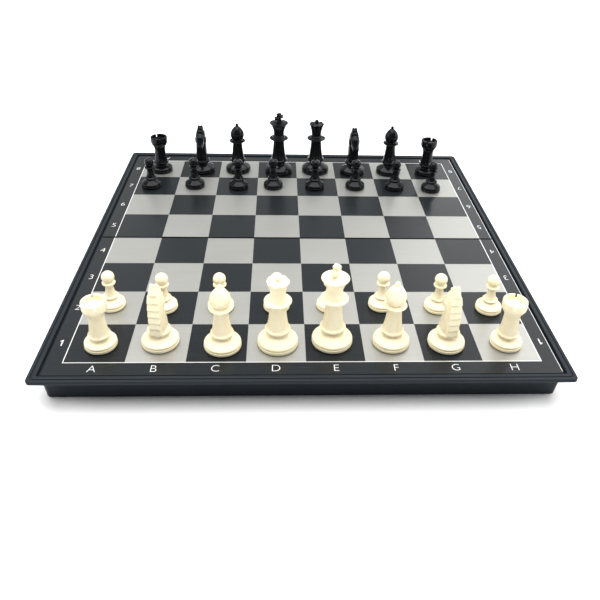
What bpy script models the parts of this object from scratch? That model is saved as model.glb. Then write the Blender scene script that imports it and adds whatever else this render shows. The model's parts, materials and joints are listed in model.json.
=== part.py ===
"""Folding magnetic travel chess set: two hinged case halves, printed sheets over steel plates and 32 men.

Metres, +Z up.  The origin is on the table, at the middle of the opened board.  White plays at -Y.
Run with: blender --background --python part.py
"""

import math

import bmesh
import bpy
from mathutils import Matrix, Vector

MM = 0.001

# Board
SQUARE = 35.8 * MM
FILES = "abcdefgh"
SEAM_GAP = 0.3 * MM              # between the two case halves
GRID_GAP = 2.1 * MM              # between the printed fields of the two sheets
HALF_WIDTH = 160.2 * MM          # centre to the flange edge, along X
HALF_DEPTH = 162.0 * MM          # centre to the flange edge, along Y
PLAY_HEIGHT = 22.6 * MM          # playing surface above the table
FIT = 0.3 * MM                   # clearance between neighbouring pieces

# Case section
DECK_TOP = 21.1 * MM
DECK_BOTTOM = 19.1 * MM
RIM_TOP = 23.5 * MM
RIM_WIDTH = 5.2 * MM
FLANGE_BOTTOM = 21.2 * MM
SKIRT_INSET = 10.0 * MM          # flange edge to the outer face of the skirt, at the deck
SKIRT_DRAFT = 2.2 * MM           # how far the skirt leans in towards the table
SIDE_INSET = 4.2 * MM            # the same two for the side walls, which stand further out
SIDE_DRAFT = 0.7 * MM
SKIRT_WALL = 2.2 * MM
CENTRE_WALL = 3.0 * MM
FLANGE_RADIUS = 3.0 * MM
SKIRT_RADIUS = 2.8 * MM
CORNER_STEPS = 4

# Sheets
PRINT_HALF_WIDTH = 153.6 * MM
PRINT_EDGE = 155.4 * MM          # centre to the far edge of a printed sheet, along Y
PRINT_SEAM = 0.8 * MM
PRINT_THICKNESS = 0.5 * MM
STEEL_INSET = 1.0 * MM
STEEL_THICKNESS = 0.4 * MM

# Hinge: one axis, moulded knuckles and a loose steel pin at each side
AXIS_HEIGHT = 1.6 * MM
KNUCKLE_RADIUS = 1.6 * MM
PIN_RADIUS = 0.65 * MM
HINGE_X = 100.0 * MM
MIDDLE_KNUCKLE = 6.0 * MM
SIDE_KNUCKLE = 6.0 * MM
KNUCKLE_POCKET = 0.45 * MM       # room round the other half's knuckles
RIM_LIFT = AXIS_HEIGHT + 0.15 * MM   # the side walls rise this much towards the seam

# Closure magnets
MAGNET_RADIUS = 3.0 * MM
MAGNET_THICKNESS = 2.0 * MM
MAGNET_X = 110.0 * MM
BOSS_WIDTH = 9.0 * MM
BOSS_DEPTH = 8.0 * MM
BOSS_BOTTOM = 0.9 * MM

# Men: height and base diameter
SIDES = 16
MEN = {
    "king": (56.5 * MM, 25.4 * MM),
    "queen": (50.4 * MM, 25.2 * MM),
    "bishop": (45.8 * MM, 23.0 * MM),
    "knight": (44.0 * MM, 23.0 * MM),
    "rook": (33.4 * MM, 19.8 * MM),
    "pawn": (26.9 * MM, 17.4 * MM),
}
BACK_ROW = {
    "white": ["rook", "knight", "bishop", "queen", "king", "bishop", "knight", "rook"],
    "black": ["rook", "knight", "bishop", "king", "queen", "knight", "bishop", "rook"],
}

# Turned outlines, from the table up: radius as a share of the base radius, height as a share of the height
OUTLINES = {
    "king": [
        (1.00, 0.000), (1.00, 0.060), (0.80, 0.110), (0.45, 0.165), (0.64, 0.186), (0.64, 0.222),
        (0.40, 0.300), (0.34, 0.568), (0.68, 0.580), (0.68, 0.598), (0.40, 0.625), (0.36, 0.690),
        (0.65, 0.850), (0.20, 0.872),
    ],
    "queen": [
        (1.00, 0.000), (1.00, 0.066), (0.80, 0.125), (0.45, 0.190), (0.65, 0.212), (0.65, 0.256),
        (0.42, 0.330), (0.35, 0.640), (0.70, 0.652), (0.70, 0.674), (0.40, 0.712), (0.36, 0.780),
        (0.52, 0.915), (0.14, 0.905), (0.12, 1.000),
    ],
    "bishop": [
        (1.00, 0.000), (1.00, 0.070), (0.80, 0.130), (0.45, 0.190), (0.68, 0.213), (0.68, 0.256),
        (0.42, 0.330), (0.36, 0.620), (0.66, 0.632), (0.66, 0.660), (0.34, 0.680), (0.54, 0.785),
        (0.46, 0.870), (0.14, 0.945), (0.10, 1.000),
    ],
    "knight": [
        (1.00, 0.000), (1.00, 0.070), (0.84, 0.130), (0.58, 0.180), (0.70, 0.200), (0.66, 0.240),
    ],
    "rook": [
        (1.00, 0.000), (1.00, 0.090), (0.86, 0.150), (0.62, 0.185), (0.74, 0.200), (0.74, 0.250),
        (0.52, 0.320), (0.48, 0.700), (0.80, 0.820), (0.80, 1.000), (0.60, 1.000), (0.60, 0.880),
    ],
    "pawn": [
        (1.00, 0.000), (1.00, 0.120), (0.78, 0.230), (0.50, 0.290), (0.57, 0.345), (0.33, 0.430),
        (0.31, 0.655), (0.52, 0.690), (0.30, 0.725), (0.47, 0.850), (0.16, 1.000),
    ],
}
CROWN_RING = 12                  # the queen's outline point that is cut into points

FINISHES = {
    "ivory_plastic": ((0.84, 0.78, 0.60), 0.30, 0.0),
    "black_plastic": ((0.010, 0.011, 0.012), 0.22, 0.0),
    "case_plastic": ((0.016, 0.020, 0.026), 0.42, 0.0),
    "printed_sheet": ((0.30, 0.30, 0.29), 0.45, 0.0),
    "steel": ((0.50, 0.51, 0.52), 0.35, 1.0),
}


def clear_scene():
    for item in list(bpy.data.objects):
        bpy.data.objects.remove(item, do_unlink=True)


def finish(name):
    """One Principled material for each finish, made on first use."""
    if name in bpy.data.materials:
        return bpy.data.materials[name]
    colour, roughness, metallic = FINISHES[name]
    material = bpy.data.materials.new(name)
    material.use_nodes = True
    shader = material.node_tree.nodes["Principled BSDF"]
    shader.inputs["Base Color"].default_value = (*colour, 1.0)
    shader.inputs["Roughness"].default_value = roughness
    shader.inputs["Metallic"].default_value = metallic
    material.diffuse_color = (*colour, 1.0)
    return material


def mesh_from(name, bm):
    """Close a bmesh into a mesh whose faces point outwards."""
    bmesh.ops.remove_doubles(bm, verts=bm.verts, dist=0.002 * MM)
    bmesh.ops.recalc_face_normals(bm, faces=bm.faces)
    mesh = bpy.data.meshes.new(name)
    bm.to_mesh(mesh)
    bm.free()
    return mesh


def place(name, mesh, finish_name, location=(0, 0, 0), turn=0.0, parent=None):
    item = bpy.data.objects.new(name, mesh)
    bpy.context.collection.objects.link(item)
    if not mesh.materials:
        mesh.materials.append(finish(finish_name))
    item.location = location
    item.rotation_euler = (0, 0, turn)
    if parent:
        item.parent = parent
        item.location = Vector(location) - parent.location
    return item


# Solids used as pieces and as cutters

def block_mesh(name, low, high):
    """A box between two corners."""
    bm = bmesh.new()
    size = Vector(high) - Vector(low)
    middle = (Vector(high) + Vector(low)) / 2
    bmesh.ops.create_cube(bm, size=1.0, matrix=Matrix.Translation(middle) @ Matrix.Diagonal((*size, 1.0)))
    return mesh_from(name, bm)


def rod_mesh(name, radius, low, high, axis="Z", sides=SIDES):
    """A cylinder along X or Z, between two points on its axis."""
    bm = bmesh.new()
    middle = (Vector(high) + Vector(low)) / 2
    depth = (Vector(high) - Vector(low)).length
    turn = Matrix.Rotation(math.radians(90), 4, "Y") if axis == "X" else Matrix.Identity(4)
    bmesh.ops.create_cone(
        bm, cap_ends=True, segments=sides, radius1=radius, radius2=radius, depth=depth,
        matrix=Matrix.Translation(middle) @ turn,
    )
    return mesh_from(name, bm)


def wedge_mesh(name, bottom, top):
    """A box with leaning sides, from the corners of its bottom and of its top."""
    bm = bmesh.new()
    low = [bm.verts.new(point) for point in bottom]
    high = [bm.verts.new(point) for point in top]
    bm.faces.new(reversed(low))
    bm.faces.new(high)
    for n in range(4):
        after = (n + 1) % 4
        bm.faces.new((low[n], low[after], high[after], high[n]))
    return mesh_from(name, bm)


def combine(mesh, steps):
    """Join or cut a mesh with others, one exact Boolean at a time, and give the resulting mesh."""
    item = bpy.data.objects.new("work", mesh)
    bpy.context.collection.objects.link(item)
    tools = []
    for operation, tool_mesh in steps:
        tool = bpy.data.objects.new("tool", tool_mesh)
        tool.hide_render = True
        tool.display_type = "WIRE"
        bpy.context.collection.objects.link(tool)
        tools.append(tool)
        change = item.modifiers.new(operation, "BOOLEAN")
        change.operation = operation
        change.solver = "EXACT"
        change.object = tool
    bpy.context.view_layer.update()
    shaped = item.evaluated_get(bpy.context.evaluated_depsgraph_get())
    result = bpy.data.meshes.new_from_object(shaped)
    result.name = mesh.name
    result.materials.clear()
    for spare in [item, *tools]:
        bpy.data.objects.remove(spare, do_unlink=True)
    return result


# Case halves

def rim_height(y):
    """Bottom of the side walls: flat under the outer wall, rising to the hinge at the seam."""
    reach = HALF_DEPTH - SKIRT_INSET - SKIRT_DRAFT - SKIRT_WALL
    return RIM_LIFT * (1.0 - min(abs(y) / reach, 1.0))


def rail(inset, height, radius, seam_y, side_inset=None):
    """A line round the three outer sides of a half, at one inset from the flange edge."""
    x = HALF_WIDTH - (inset if side_inset is None else side_inset)
    y = HALF_DEPTH - inset
    points = [Vector((-x, -seam_y, 0))]
    for corner_x, start in ((-1, 180), (1, 270)):
        centre = Vector((corner_x * (x - radius), -(y - radius), 0))
        for n in range(CORNER_STEPS + 1):
            angle = math.radians(start + 90 * n / CORNER_STEPS)
            points.append(centre + radius * Vector((math.cos(angle), math.sin(angle), 0)))
    points.append(Vector((x, -seam_y, 0)))
    for point in points:
        point.z = rim_height(point.y) if height is None else height
    return points


def case_shell():
    """The front half: stepped rim, deck, leaning skirt and centre wall in one moulding."""
    seam = SEAM_GAP / 2
    foot, side_foot = SKIRT_INSET + SKIRT_DRAFT, SIDE_INSET + SIDE_DRAFT
    within, inner_radius = seam + CENTRE_WALL, SKIRT_RADIUS - SKIRT_WALL
    outside = [
        rail(RIM_WIDTH, DECK_TOP, 1.0 * MM, seam),
        rail(RIM_WIDTH, RIM_TOP, 1.0 * MM, seam),
        rail(3.0 * MM, RIM_TOP, 1.8 * MM, seam),
        rail(2.5 * MM, RIM_TOP - 0.5 * MM, 2.0 * MM, seam),
        rail(2.0 * MM, RIM_TOP, 2.2 * MM, seam),
        rail(0.4 * MM, RIM_TOP, 2.8 * MM, seam),
        rail(0.0, RIM_TOP - 0.4 * MM, FLANGE_RADIUS, seam),
        rail(0.0, FLANGE_BOTTOM, FLANGE_RADIUS, seam),
        rail(3.2 * MM, DECK_BOTTOM, 2.6 * MM, seam),
        rail(SKIRT_INSET, DECK_BOTTOM, SKIRT_RADIUS, seam, SIDE_INSET),
        rail(foot, None, SKIRT_RADIUS, seam, side_foot),
    ]
    inside = [
        rail(foot + SKIRT_WALL, None, inner_radius, within, side_foot + SKIRT_WALL),
        rail(SKIRT_INSET + SKIRT_WALL, DECK_BOTTOM, inner_radius, within, SIDE_INSET + SKIRT_WALL),
    ]
    bm = bmesh.new()
    rails = [[bm.verts.new(point) for point in line] for line in outside + inside]
    for line, following in zip(rails, rails[1:]):
        for n in range(len(line) - 1):
            bm.faces.new((line[n], line[n + 1], following[n + 1], following[n]))
    wall_foot, pocket_foot, pocket_top = rails[len(outside) - 1], rails[-2], rails[-1]
    bm.faces.new((wall_foot[0], wall_foot[-1], pocket_foot[-1], pocket_foot[0]))
    bm.faces.new((pocket_foot[0], pocket_foot[-1], pocket_top[-1], pocket_top[0]))
    bm.faces.new(pocket_top)
    bm.faces.new(rails[0])
    left_end = [line[0] for line in rails[: len(outside)]]
    right_end = [line[-1] for line in rails[: len(outside)]]
    bm.faces.new(left_end + right_end[::-1])
    return mesh_from("case", bm)


def knuckle_spans(middle):
    """The X spans of one half's knuckles: the middle one of each hinge, or the two beside it."""
    spans = []
    for side in (-1, 1):
        centre = side * HINGE_X
        if middle:
            spans.append((centre - MIDDLE_KNUCKLE / 2, centre + MIDDLE_KNUCKLE / 2))
        else:
            inner = MIDDLE_KNUCKLE / 2 + FIT
            spans.append((centre - inner - SIDE_KNUCKLE, centre - inner))
            spans.append((centre + inner, centre + inner + SIDE_KNUCKLE))
    return spans


def axis_rod(name, radius, span):
    low = (span[0], 0, AXIS_HEIGHT)
    high = (span[1], 0, AXIS_HEIGHT)
    return rod_mesh(name, radius, low, high, axis="X")


def magnet_y():
    return -(HALF_DEPTH - SKIRT_INSET - SKIRT_DRAFT - SKIRT_WALL - 0.6 * MM - BOSS_DEPTH / 2)


def magnet_boss(x):
    """A post in the corner of skirt and deck, leaning with the skirt."""
    half = BOSS_WIDTH / 2
    wall_top = -(HALF_DEPTH - SKIRT_INSET - SKIRT_WALL / 2)
    wall_foot = wall_top + SKIRT_DRAFT * (DECK_BOTTOM - BOSS_BOTTOM) / DECK_BOTTOM
    back = magnet_y() + BOSS_DEPTH / 2
    top = DECK_BOTTOM + 0.5 * MM
    bottom_corners = [
        (x - half, wall_foot, BOSS_BOTTOM), (x + half, wall_foot, BOSS_BOTTOM),
        (x + half, back, BOSS_BOTTOM), (x - half, back, BOSS_BOTTOM),
    ]
    top_corners = [
        (x - half, wall_top, top), (x + half, wall_top, top),
        (x + half, back, top), (x - half, back, top),
    ]
    return wedge_mesh("boss", bottom_corners, top_corners)


def magnet_cut(x):
    low = (x, magnet_y(), BOSS_BOTTOM - 1 * MM)
    high = (x, magnet_y(), BOSS_BOTTOM + MAGNET_THICKNESS + FIT)
    return rod_mesh("magnet_cut", MAGNET_RADIUS + FIT, low, high)


def case_half(name, has_middle_knuckle, mirrored):
    """One case half; the rear one is the front one turned round, with the other knuckles."""
    steps = [("UNION", magnet_boss(side * MAGNET_X)) for side in (-1, 1)]
    steps += [("DIFFERENCE", magnet_cut(side * MAGNET_X)) for side in (-1, 1)]
    for low, high in knuckle_spans(not has_middle_knuckle):
        span = (low - KNUCKLE_POCKET, high + KNUCKLE_POCKET)
        steps.append(("DIFFERENCE", axis_rod("pocket", KNUCKLE_RADIUS + KNUCKLE_POCKET, span)))
    for span in knuckle_spans(has_middle_knuckle):
        steps.append(("UNION", axis_rod("knuckle", KNUCKLE_RADIUS, span)))
    reach = MIDDLE_KNUCKLE / 2 + SIDE_KNUCKLE + 1 * MM
    for side in (-1, 1):
        span = (side * HINGE_X - reach, side * HINGE_X + reach)
        steps.append(("DIFFERENCE", axis_rod("pin_hole", PIN_RADIUS + FIT, span)))
    mesh = combine(case_shell(), steps)
    mesh.name = name
    if mirrored:
        mesh.transform(Matrix.Rotation(math.pi, 4, "Z"))
    return mesh


# Men

def turned(name, outline, height, radius, sides=SIDES):
    """A closed turning from an outline of (radius share, height share), bottom to top."""
    bm = bmesh.new()
    rings = []
    for share, level in outline:
        ring = []
        for n in range(sides):
            angle = 2 * math.pi * n / sides
            ring.append(bm.verts.new((
                radius * share * math.cos(angle), radius * share * math.sin(angle), height * level,
            )))
        rings.append(ring)
    for lower, upper in zip(rings, rings[1:]):
        for n in range(sides):
            after = (n + 1) % sides
            bm.faces.new((lower[n], lower[after], upper[after], upper[n]))
    bm.faces.new(reversed(rings[0]))
    bm.faces.new(rings[-1])
    return mesh_from(name, bm)


def plate_mesh(name, outline, thickness):
    """A flat outline in the YZ plane, given thickness along X."""
    bm = bmesh.new()
    near = [bm.verts.new((-thickness / 2, y, z)) for y, z in outline]
    face = bm.faces.new(near)
    raised = bmesh.ops.extrude_face_region(bm, geom=[face])
    moved = [item for item in raised["geom"] if isinstance(item, bmesh.types.BMVert)]
    bmesh.ops.translate(bm, verts=moved, vec=(thickness, 0, 0))
    return mesh_from(name, bm)


def king_mesh(height, radius):
    """The turned king with a cross on its crown."""
    foot = 0.865 * height
    arm_low, arm_high = 0.912 * height, 0.958 * height
    stem, arm, flare = 0.9 * MM, 4.0 * MM, 1.7 * MM
    outline = [
        (-flare, foot), (flare, foot), (stem, arm_low), (arm, arm_low), (arm, arm_high), (stem, arm_high),
        (flare, height), (-flare, height), (-stem, arm_high), (-arm, arm_high), (-arm, arm_low),
        (-stem, arm_low),
    ]
    cross = plate_mesh("cross", outline, 2.4 * MM)
    return combine(turned("king", OUTLINES["king"], height, radius), [("UNION", cross)])


def queen_mesh(height, radius):
    """The turned queen; the crown's edge is cut into points."""
    mesh = turned("queen", OUTLINES["queen"], height, radius)
    for n in range(0, SIDES, 2):
        mesh.vertices[CROWN_RING * SIDES + n].co.z += 0.025 * height
    return mesh


def bishop_mesh(height, radius):
    """The turned bishop with the slanted cut in its mitre."""
    cut = block_mesh("cut", (-20 * MM, 0, -0.5 * MM), (20 * MM, 12 * MM, 0.5 * MM))
    slant = Matrix.Rotation(math.radians(52), 4, "X")
    cut.transform(Matrix.Translation((0, 0.04 * radius, 0.82 * height)) @ slant)
    return combine(turned("bishop", OUTLINES["bishop"], height, radius), [("DIFFERENCE", cut)])


def rook_mesh(height, radius):
    """The turned rook with four notches in its battlement."""
    low, high, half = 0.905 * height, 1.02 * height, 1.1 * MM
    reach = 2 * radius
    steps = [
        ("DIFFERENCE", block_mesh("notch", (-reach, -half, low), (reach, half, high))),
        ("DIFFERENCE", block_mesh("notch", (-half, -reach, low), (half, reach, high))),
    ]
    return combine(turned("rook", OUTLINES["rook"], height, radius), steps)


def knight_mesh(height, radius):
    """A turned foot with a carved horse's head that looks along -Y."""
    shares = [
        (0.56, 0.225), (0.60, 0.330), (0.58, 0.470), (0.50, 0.640), (0.36, 0.790), (0.12, 0.900),
        (-0.02, 0.930), (-0.06, 1.000), (-0.18, 0.945), (-0.36, 0.870), (-0.66, 0.690), (-0.80, 0.600),
        (-0.76, 0.530), (-0.58, 0.510), (-0.40, 0.580), (-0.16, 0.580), (-0.34, 0.440), (-0.50, 0.330),
        (-0.54, 0.225),
    ]
    outline = [(share * radius, level * height) for share, level in shares]
    head = plate_mesh("head", outline, 7.6 * MM)
    return combine(turned("knight", OUTLINES["knight"], height, radius), [("UNION", head)])


def pawn_mesh(height, radius):
    return turned("pawn", OUTLINES["pawn"], height, radius)


SHAPERS = {
    "king": king_mesh, "queen": queen_mesh, "bishop": bishop_mesh,
    "knight": knight_mesh, "rook": rook_mesh, "pawn": pawn_mesh,
}

# How each man is turned on its square, in degrees about +Z; knights look along -Y at 0
TURNS = {
    "a1": 20, "b1": 174, "c1": -30, "d1": 8, "e1": 62, "f1": 25, "g1": 186, "h1": -20,
    "a8": 28, "b8": -4, "c8": 35, "d8": 50, "e8": 0, "f8": 8, "g8": -90, "h8": -30,
}

# How far each man stands off the middle of its square, in millimetres along X and Y
STRAYS = {
    "a1": (0.8, -2.3), "b1": (0.5, 0.2), "c1": (3.0, -3.3), "d1": (0.9, -1.1),
    "e1": (-1.2, 0.7), "f1": (-0.2, -0.6), "g1": (-1.5, -1.8), "h1": (0.7, -1.7),
    "a2": (-1.1, 1.9), "b2": (-2.3, -0.3), "c2": (-1.1, 0.0), "d2": (0.0, 0.3),
    "e2": (-0.5, 1.2), "f2": (-1.3, 1.9), "g2": (0.5, -0.3), "h2": (-0.6, -1.9),
    "a7": (-4.8, -1.5), "b7": (-2.2, 0.0), "c7": (1.0, -1.5), "d7": (-3.7, 0.0),
    "e7": (-2.1, -1.0), "f7": (-1.3, 0.0), "g7": (-1.3, -1.0), "h7": (-4.2, -3.5),
    "a8": (-0.8, -3.5), "b8": (1.3, -2.5), "c8": (-1.2, -1.0), "d8": (1.2, -3.0),
    "e8": (0.0, -0.8), "f8": (-0.8, -3.5), "g8": (-1.9, -2.6), "h8": (-2.1, -4.0),
}


def stand(square):
    """Where a man stands: the middle of its square and how far it has strayed from it."""
    file_index, rank = FILES.index(square[0]), int(square[1])
    x = (file_index - 3.5) * SQUARE
    y = (rank - 4.5) * SQUARE
    y += math.copysign(GRID_GAP / 2, y)
    stray_x, stray_y = STRAYS[square]
    return (x + stray_x * MM, y + stray_y * MM, PLAY_HEIGHT + FIT)


def set_out_men(fold_axis):
    """All 32 men on their squares: the black ones ride on the rear half."""
    for colour, home_rank, pawn_rank in (("white", 1, 2), ("black", 8, 7)):
        tone = "ivory_plastic" if colour == "white" else "black_plastic"
        parent = fold_axis if colour == "black" else None
        meshes = {}
        for kind, (height, diameter) in MEN.items():
            meshes[kind] = SHAPERS[kind](height, diameter / 2)
            meshes[kind].name = f"{colour}_{kind}"
        for letter, kind in zip(FILES, BACK_ROW[colour]):
            for rank, shape in ((home_rank, kind), (pawn_rank, "pawn")):
                square = f"{letter}{rank}"
                turn = math.radians(TURNS.get(square, 0))
                name = f"{colour}_{shape}_{square}"
                place(name, meshes[shape], tone, stand(square), turn, parent)


def sheet_mesh(name, half_width, near, far, top, thickness):
    """A flat sheet of the front half, from the seam side to the far side."""
    return block_mesh(name, (-half_width, -far, top - thickness), (half_width, -near, top))


def set_out_board(fold_axis):
    """Both case halves with what is fixed in them; the rear ones ride on the fold axis."""
    steel_top = PLAY_HEIGHT - PRINT_THICKNESS - FIT
    turned_round = Matrix.Rotation(math.pi, 4, "Z")
    for half in ("front", "rear"):
        rear = half == "rear"
        parent = fold_axis if rear else None
        sheets = {
            f"{half}_playing_sheet": (sheet_mesh(
                "playing_sheet", PRINT_HALF_WIDTH, PRINT_SEAM, PRINT_EDGE, PLAY_HEIGHT, PRINT_THICKNESS,
            ), "printed_sheet"),
            f"{half}_steel_sheet": (sheet_mesh(
                "steel_sheet", PRINT_HALF_WIDTH - STEEL_INSET, PRINT_SEAM + STEEL_INSET,
                PRINT_EDGE - STEEL_INSET, steel_top, STEEL_THICKNESS,
            ), "steel"),
        }
        pieces = {f"{half}_case": (case_half("case", rear, rear), "case_plastic")}
        for name, (mesh, tone) in sheets.items():
            if rear:
                mesh.transform(turned_round)
            pieces[name] = (mesh, tone)
        for side, label in ((-1, "left"), (1, "right")):
            y = -magnet_y() if rear else magnet_y()
            foot = (side * MAGNET_X, y, BOSS_BOTTOM)
            head = (side * MAGNET_X, y, BOSS_BOTTOM + MAGNET_THICKNESS)
            disc = rod_mesh("magnet", MAGNET_RADIUS, foot, head)
            pieces[f"{half}_closure_magnet_{label}"] = (disc, "steel")
        for name, (mesh, tone) in pieces.items():
            mesh.transform(Matrix.Translation(-parent.location) if parent else Matrix.Identity(4))
            place(name, mesh, tone, parent.location if parent else (0, 0, 0), parent=parent)


def set_out_hinges():
    """A loose pin through the knuckles of each hinge."""
    reach = MIDDLE_KNUCKLE / 2 + FIT + SIDE_KNUCKLE
    for side, label in ((-1, "left"), (1, "right")):
        span = (side * HINGE_X - reach, side * HINGE_X + reach)
        place(f"hinge_pin_{label}", axis_rod("hinge_pin", PIN_RADIUS, span), "steel")


def main():
    clear_scene()
    fold_axis = bpy.data.objects.new("fold_axis", None)
    bpy.context.collection.objects.link(fold_axis)
    fold_axis.location = (0, 0, AXIS_HEIGHT)
    set_out_board(fold_axis)
    set_out_hinges()
    set_out_men(fold_axis)


main()
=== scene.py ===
import json
import math
import bmesh
import bpy
from mathutils import Matrix, Vector

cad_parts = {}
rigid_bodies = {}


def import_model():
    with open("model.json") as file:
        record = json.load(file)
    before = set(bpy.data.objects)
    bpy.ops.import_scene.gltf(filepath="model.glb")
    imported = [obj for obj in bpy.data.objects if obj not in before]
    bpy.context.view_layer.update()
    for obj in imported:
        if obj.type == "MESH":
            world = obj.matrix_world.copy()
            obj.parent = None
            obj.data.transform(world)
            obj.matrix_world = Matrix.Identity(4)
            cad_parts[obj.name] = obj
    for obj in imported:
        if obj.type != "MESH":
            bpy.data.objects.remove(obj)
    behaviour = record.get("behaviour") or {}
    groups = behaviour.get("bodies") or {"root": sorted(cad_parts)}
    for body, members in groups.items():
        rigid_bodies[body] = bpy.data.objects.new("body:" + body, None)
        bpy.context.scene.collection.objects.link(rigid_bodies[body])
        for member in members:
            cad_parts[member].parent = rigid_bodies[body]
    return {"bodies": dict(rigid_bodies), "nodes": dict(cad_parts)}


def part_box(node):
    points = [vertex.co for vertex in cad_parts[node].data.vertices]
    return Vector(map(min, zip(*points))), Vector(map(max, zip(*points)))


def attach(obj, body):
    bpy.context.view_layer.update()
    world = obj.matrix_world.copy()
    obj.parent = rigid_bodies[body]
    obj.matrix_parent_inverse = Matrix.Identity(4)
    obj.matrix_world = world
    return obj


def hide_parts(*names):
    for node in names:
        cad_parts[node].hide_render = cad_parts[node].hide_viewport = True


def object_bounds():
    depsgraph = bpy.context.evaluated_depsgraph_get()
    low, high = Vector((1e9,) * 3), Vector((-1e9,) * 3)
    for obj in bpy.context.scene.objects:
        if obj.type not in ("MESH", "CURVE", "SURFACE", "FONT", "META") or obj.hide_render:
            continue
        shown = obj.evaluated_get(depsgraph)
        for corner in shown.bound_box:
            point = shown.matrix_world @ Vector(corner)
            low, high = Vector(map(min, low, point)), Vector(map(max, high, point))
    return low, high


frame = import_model()
cadLow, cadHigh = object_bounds()
mm = 0.001
files = "abcdefgh"


class Wire:  # an output socket; sums on it add Math nodes
    def __init__(self, tree, socket):
        self.tree = tree
        self.socket = socket

    def maths(self, operation, *values):
        return self.tree.out("ShaderNodeMath", {"operation": operation}, dict(enumerate(values)))

    def __add__(self, other):
        return self.maths("ADD", self, other)

    def __radd__(self, other):
        return self.maths("ADD", other, self)

    def __sub__(self, other):
        return self.maths("SUBTRACT", self, other)

    def __mul__(self, other):
        return self.maths("MULTIPLY", self, other)

    def __rmul__(self, other):
        return self.maths("MULTIPLY", other, self)

    def __truediv__(self, other):
        return self.maths("DIVIDE", self, other)

    def __mod__(self, other):
        return self.maths("MODULO", self, other)

    def limited(self):
        return self.maths("MINIMUM", self.maths("MAXIMUM", self, 0.0), 1.0)


class Tree:  # a node tree; every node is made by node() or out()
    def __init__(self, base):
        self.base = base

    def node(self, kind, settings=None, values=None):
        made = self.base.nodes.new(kind)
        for key, value in (settings or {}).items():
            setattr(made, key, value)
        for key, value in (values or {}).items():
            if isinstance(value, Wire):
                self.base.links.new(value.socket, made.inputs[key])
            else:
                made.inputs[key].default_value = value
        return made

    def out(self, kind, settings=None, values=None, output=0):
        return Wire(self, self.node(kind, settings, values).outputs[output])


def link(name, mesh):
    item = bpy.data.objects.new(name, mesh)
    bpy.context.collection.objects.link(item)
    return item


def evaluated(item):
    bpy.context.view_layer.update()
    return bpy.data.meshes.new_from_object(item.evaluated_get(bpy.context.evaluated_depsgraph_get()))


def closeMesh(mesh, weld=0.001 * mm):
    bm = bmesh.new()
    bm.from_mesh(mesh)
    bmesh.ops.remove_doubles(bm, verts=bm.verts, dist=weld)
    bmesh.ops.recalc_face_normals(bm, faces=bm.faces)
    bm.to_mesh(mesh)
    bm.free()
    return mesh


def meshFrom(name, bm):
    mesh = bpy.data.meshes.new(name)
    bm.to_mesh(mesh)
    bm.free()
    return closeMesh(mesh)


def boxMesh(low, high):
    bm = bmesh.new()
    size, middle = Vector(high) - Vector(low), (Vector(high) + Vector(low)) / 2
    bmesh.ops.create_cube(bm, size=1.0, matrix=Matrix.Translation(middle) @ Matrix.Diagonal((*size, 1.0)))
    return meshFrom("box", bm)


def combine(mesh, steps):  # joins or cuts a mesh with others
    item, tools = link("work", mesh), []
    for operation, toolMesh in steps:
        tools.append(link("tool", toolMesh))
        change = item.modifiers.new(operation, "BOOLEAN")
        change.operation = operation
        change.solver = "EXACT"
        change.object = tools[-1]
    shaped = evaluated(item)
    shaped.materials.clear()
    for spare in [item, *tools]:
        bpy.data.objects.remove(spare, do_unlink=True)
    return closeMesh(shaped, 0.0005 * mm)


def smoothed(mesh, angle=35):
    mesh.shade_smooth()
    mesh.set_sharp_from_angle(angle=math.radians(angle))
    return mesh


def finishPiece(name, mesh, material, body, replaced=()):
    if material:
        mesh.materials.clear()
        mesh.materials.append(material)
    item = link(name, mesh)
    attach(item, body)
    if replaced:
        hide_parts(*replaced)
    return item


def interfaceTree(name, sockets):
    tree = bpy.data.node_groups.new(name, "GeometryNodeTree")
    for label, kind in sockets.items():
        tree.interface.new_socket(label, in_out="INPUT", socket_type="NodeSocket" + kind)
    tree.interface.new_socket("Result", in_out="OUTPUT", socket_type="NodeSocketGeometry")
    made = Tree(tree)
    entry = made.node("NodeGroupInput")
    return made, {label: Wire(made, entry.outputs[label]) for label in sockets}


def endTree(made, shape, material):
    real = made.out("GeometryNodeRealizeInstances", None, {0: shape})
    coloured = made.out("GeometryNodeSetMaterial", None, {"Geometry": real, "Material": material})
    made.node("NodeGroupOutput", None, {0: coloured})
    return made.base


def grown(tree, values, start=None):  # runs a geometry tree on a start mesh and gives a plain mesh
    item = link("grown", start or bpy.data.meshes.new("seed"))
    change = item.modifiers.new("grown", "NODES")
    change.node_group = tree
    for socket in tree.interface.items_tree:
        if socket.in_out == "INPUT" and socket.name in values:
            change[socket.identifier] = values[socket.name]
    mesh = evaluated(item)
    bpy.data.objects.remove(item, do_unlink=True)
    return mesh


pointsRise, pointsSpread = 700, 900  # how fast the crown's points grow upwards and outwards, per metre


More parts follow.
